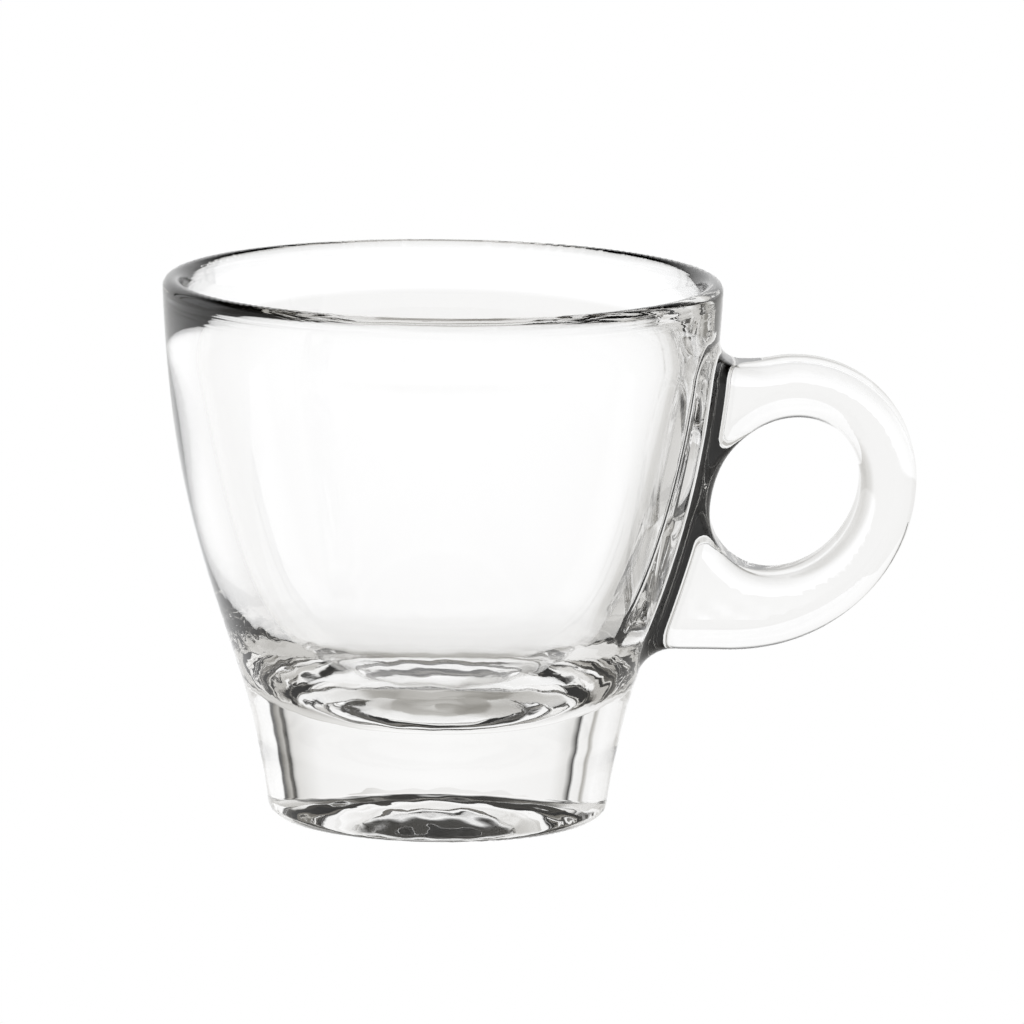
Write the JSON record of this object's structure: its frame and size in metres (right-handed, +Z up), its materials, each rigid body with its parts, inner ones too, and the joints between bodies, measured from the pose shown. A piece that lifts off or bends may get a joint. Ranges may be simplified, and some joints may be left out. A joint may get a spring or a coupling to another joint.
{
  "type": "espresso cup",
  "caption": "Clear pressed-glass espresso cup with a rounded tapering bowl, a thick solid foot with a dished underside, and a ring handle for a finger.",
  "frame": {"origin": "on the table plane, under the middle of the whole footprint with the handle included", "axes": "+X from the bowl towards the handle, +Z up out of the mouth, -Z out of the resting ring"},
  "size_m": [0.085, 0.063, 0.061],
  "materials": {
    "clear_glass": "fire-polished clear soda-lime glass"
  },
  "bodies": {
    "root": {"bowl": "clear_glass", "foot": "clear_glass", "handle": "clear_glass"}
  },
  "joints": []
}
